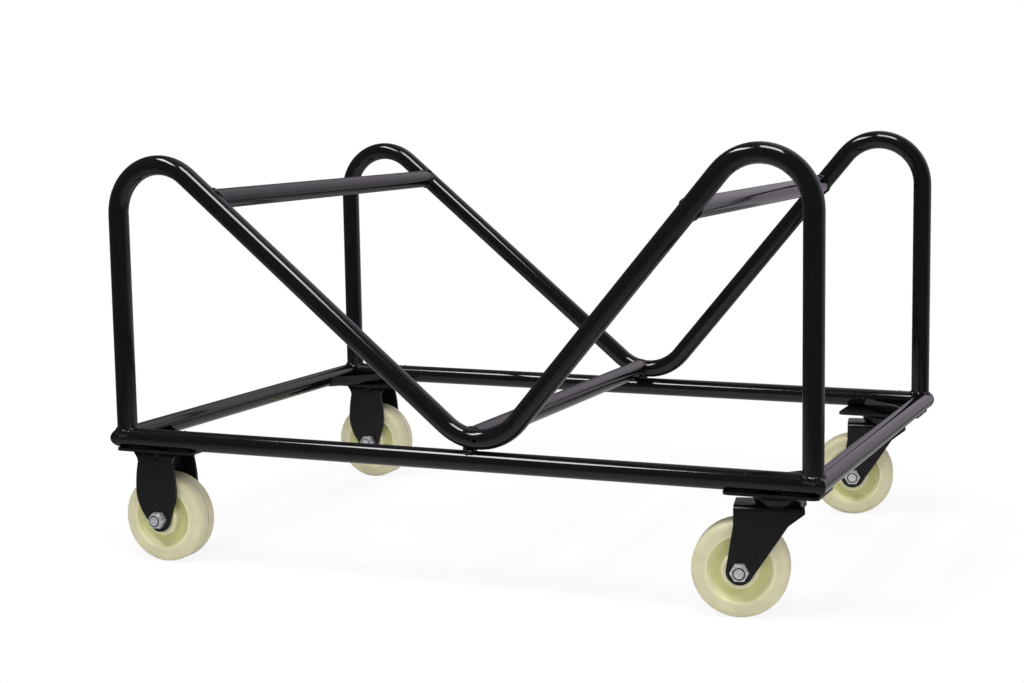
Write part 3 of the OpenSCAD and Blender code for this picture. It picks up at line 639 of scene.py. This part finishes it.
def foot_seam(end, side):
    """Seam of a post on a corner: a circle about the post, lifted on to the rails' round tops.

    The height above the rails' axes is the root of the tube radius squared less the distance from the
    nearer rail's axis squared, and never less than the filled height. The mitre is where the two
    distances from the corner are equal. The seam is then sunk against its lean, so that a fat round
    bead stands only a little proud of both tubes."""
    out = np.stack([np.cos(around), np.sin(around)], 1)
    x = end * POST_X + TUBE_R * out[:, 0]
    y = side * RAIL_Y + TUBE_R * out[:, 1]
    from_end, from_long = RAIL_X - end * x, RAIL_Y - side * y
    on_long = from_end > from_long
    off = np.where(on_long, from_long, from_end)
    height = np.sqrt(np.maximum(TUBE_R ** 2 - off ** 2, LEAST_RISE ** 2))
    zero = np.zeros_like(off)
    tilt = -off / TUBE_R
    up = np.stack([np.where(on_long, zero, end * tilt), np.where(on_long, side * tilt, zero),
                   height / TUBE_R], 1)
    lean = unit(np.hstack([out, zero[:, None]]) + up)
    seam = np.stack([x, y, RAIL_Z + np.maximum(height, FOOT_FILL)], 1)
    return seam - FOOT_SINK * lean, lean


foot_beads = [(*foot_seam(end, side), FOOT_BEAD_R, True) for end, side in CORNERS]
weld_piece("foot_welds", foot_beads)

# %% [markdown]
# ## Welds at the ends of the cross bars
# The upper bars meet the straight slopes and the lower bar the valley bends. Round a bar, the seam's
# distance from the cradle tube's middle plane is the root of the tube radius squared less the
# distance from that tube's centreline squared. On a slope that centreline is a line, and in the
# valley it is an arc.

# %% Bar welds
SEAM_R = 11.4
LEAST_DEPTH = 2.0
BAR_BEAD_R, LOWER_BEAD_R = 1.9, 1.3
VALLEY = np.array([38.0, 223.5])
VALLEY_BEND_R = 58.5
LEFT_SLOPE, RIGHT_SLOPE = math.radians(39.65), math.radians(49.83)
UPPER_LEFT, UPPER_RIGHT, LOWER = (-280.6, 411.6), (272.0, 410.1), (28.0, 165.9)


def from_slope(place, normal):
    """Function that gives points' distance from a straight centreline through place, and its normal."""
    return lambda points: ((points - place) @ normal, np.broadcast_to(normal, points.shape))


def from_valley(points):
    """Distance of points from the valley's arc, and the direction away from its centre."""
    away = points - VALLEY
    return np.linalg.norm(away, axis=1) - VALLEY_BEND_R, unit(away)


def bar_seam(place, side, distance):
    """Seam of a cross bar on a cradle tube: a circle about the bar, pulled in to the tube's surface."""
    out = np.stack([np.cos(around), np.sin(around)], 1)
    points = np.array(place) + TUBE_R * out
    off, away = distance(points)
    depth = np.sqrt(np.maximum(SEAM_R ** 2 - off ** 2, LEAST_DEPTH ** 2))
    seam = np.stack([points[:, 0], side * (RAIL_Y - depth), points[:, 1]], 1)
    tube_out = np.stack([away[:, 0] * off, -side * depth, away[:, 1] * off], 1) / SEAM_R
    bar_out = np.stack([out[:, 0], np.zeros(len(out)), out[:, 1]], 1)
    return seam, unit(bar_out + tube_out)


left_normal = np.array([math.sin(LEFT_SLOPE), math.cos(LEFT_SLOPE)])
right_normal = np.array([-math.sin(RIGHT_SLOPE), math.cos(RIGHT_SLOPE)])
bars = [
    (UPPER_LEFT, from_slope(UPPER_LEFT, left_normal), BAR_BEAD_R),
    (UPPER_RIGHT, from_slope(UPPER_RIGHT, right_normal), BAR_BEAD_R),
    (LOWER, from_valley, LOWER_BEAD_R),
]
bar_beads = [(*bar_seam(place, side, distance), size, True)
             for side in (-1, 1) for place, distance, size in bars]
weld_piece("bar_welds", bar_beads)

# %% [markdown]
# ## Welds at the mitred corners
# A mitre cuts a round tube in an ellipse, which is as high as the tube and root two times as wide. The
# bead there is dressed down with a grinder before painting, so it is only a low ridge.

# %% Corner welds
CORNER_BEAD_R = 0.5


def corner_seam(end, side):
    """Ellipse of a mitre: the tube radius times a cosine along both X and Y, and a sine along Z."""
    flat = np.cos(around)
    seam = np.stack([end * (RAIL_X + TUBE_R * flat), side * (RAIL_Y + TUBE_R * flat),
                     RAIL_Z + TUBE_R * np.sin(around)], 1)
    lean = np.stack([end * flat, side * flat, np.sin(around)], 1)
    return seam, unit(lean)


corner_beads = [(*corner_seam(end, side), CORNER_BEAD_R, True) for end, side in CORNERS]
weld_piece("corner_welds", corner_beads)

# %% [markdown]
# ## Stitch welds on plates and gussets
# The castor plates, the gussets and the fixed forks are held by short stitches of weld. A stitch runs
# straight from one point to another and leans the way that it faces. Points are given as distances in
# from the corner of the rails, so one list serves all four corners.

# %% Stitch welds
STITCH_POINTS = 24
PLATE_REACH = {-1: 5.5, 1: 4}
PLATE_GAP = 0.2
PLATE_SIDE_Y, PLATE_SIDE_Z, PLATE_END_Z = -5.6, 131.6, 130.2
PLATE_SIDE_SPANS, PLATE_END_SPAN = [(8, 36), (60, 90)], (12, 36)
LIP_FAR, LIP_NEAR = (75.4, 72.6), (8.8, 11.6)
LIP_LOW, LIP_HIGH = 134, 143
SIDE_BEAD_R, END_BEAD_R, LIP_BEAD_R = 1.7, 1.6, 1.9


def stitch(start, stop, lean, size):
    """Straight bead between two points, with one lean all along."""
    share = np.linspace(0, 1, STITCH_POINTS)[:, None]
    seam = np.array(start) * (1 - share) + np.array(stop) * share
    return seam, unit(np.broadcast_to(np.array(lean, float), seam.shape)), size, False


def at_corner(end, side, inward):
    """Point or direction given as (in along X, in along Y, Z), in the frame of the whole trolley."""
    return np.array([-end * inward[0], -side * inward[1], inward[2]])


def corner_stitch(end, side, start, stop, lean, size):
    """Stitch at one corner, given by its distances in from the corner of the rails' centrelines."""
    corner = np.array([end * RAIL_X, side * RAIL_Y, 0])
    return stitch(corner + at_corner(end, side, start), corner + at_corner(end, side, stop),
                  at_corner(end, side, lean), size)


stitches = []
for end, side in CORNERS:
    tip = -PLATE_REACH[end] - PLATE_GAP
    for begin, finish in PLATE_SIDE_SPANS:
        stitches.append(corner_stitch(
            end, side, (begin, PLATE_SIDE_Y, PLATE_SIDE_Z), (finish, PLATE_SIDE_Y, PLATE_SIDE_Z),
            (0, -1, 0.2), SIDE_BEAD_R))
    begin, finish = PLATE_END_SPAN
    stitches.append(corner_stitch(
        end, side, (tip, begin, PLATE_END_Z), (tip, finish, PLATE_END_Z), (-1, 0, -0.2), END_BEAD_R))
    for along_x, along_y in ((LIP_FAR, LIP_NEAR), (LIP_NEAR, LIP_FAR)):
        stitches.append(corner_stitch(
            end, side, (along_x[0], along_y[0], LIP_LOW), (along_x[1], along_y[1], LIP_HIGH),
            (1, 1, 0), LIP_BEAD_R))
weld_piece("stitch_welds", stitches)

# %% [markdown]
# ## Welds under the valley and on the fixed forks
# Each valley bend is tied to the rail below it by a weld that is a CAD piece. A short fat bead goes on
# its outer side, where it runs down on to the rail. Each fixed fork is tied to its plate along the
# hollow of its two folds.

# %% Valley and fork welds
VALLEY_WELD_X, VALLEY_WELD_OUT, VALLEY_WELD_Z = (23, 34), 5.6, 151.9
VALLEY_BEAD_R = 3.2
FORK_X, FORK_Y, FORK_FOLD_Y, FORK_FOLD_Z = (-380, -342), 238.5, 20, 126.4
FORK_BEAD_R = 1.5
valley_beads, fork_beads = [], []
for side in (-1, 1):
    y = side * (RAIL_Y + VALLEY_WELD_OUT)
    start, stop = [(x, y, VALLEY_WELD_Z) for x in VALLEY_WELD_X]
    valley_beads.append(stitch(start, stop, (0, side, 0), VALLEY_BEAD_R))
    for face in (-1, 1):
        y = side * FORK_Y + face * FORK_FOLD_Y
        start, stop = [(x, y, FORK_FOLD_Z) for x in FORK_X]
        fork_beads.append(stitch(start, stop, (0, face, -0.4), FORK_BEAD_R))
weld_piece("valley_side_welds", valley_beads)
weld_piece("fork_welds", fork_beads)

# %% [markdown]
# ## Weld spatter
# An arc throws small drops of steel, which freeze on the tube and are painted over. A drop is a bead
# that is hardly longer than it is wide. The drops lie on the upper sides of the long rails near the
# posts' feet, at random places from a generator with a fixed seed, so that every run makes the same ones.

# %% Weld spatter
SPATTER_NEAR, SPATTER_FAR = 22, 90
SPATTER_OUTER, SPATTER_INNER = math.radians(25), math.radians(130)
DROP_LEAST, DROP_MOST = 0.5, 0.9
DROP_STRETCH = 0.8
DROPS_PER_FOOT = 6
SEED = 11
chance = np.random.default_rng(SEED)
drops = []
for end, side in CORNERS:
    for _ in range(DROPS_PER_FOOT):
        x = end * (POST_X - chance.uniform(SPATTER_NEAR, SPATTER_FAR))
        angle = chance.uniform(SPATTER_OUTER, SPATTER_INNER)
        size = chance.uniform(DROP_LEAST, DROP_MOST)
        out = np.array([0, side * math.cos(angle), math.sin(angle)])
        centre = np.array([x, side * RAIL_Y, RAIL_Z]) + TUBE_R * out
        half = np.array([DROP_STRETCH * size, 0, 0])
        drops.append(stitch(centre - half, centre + half, out, size))
weld_piece("weld_spatter", drops)

# %% [markdown]
# ## Finish
# The colour management is set to Standard, so that colours come out as they are written. The box of
# the dressed object is printed.

# %% Box of the dressed object
bpy.context.scene.view_settings.view_transform = "Standard"
low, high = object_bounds()
print("visual box from", tuple(low), "to", tuple(high))
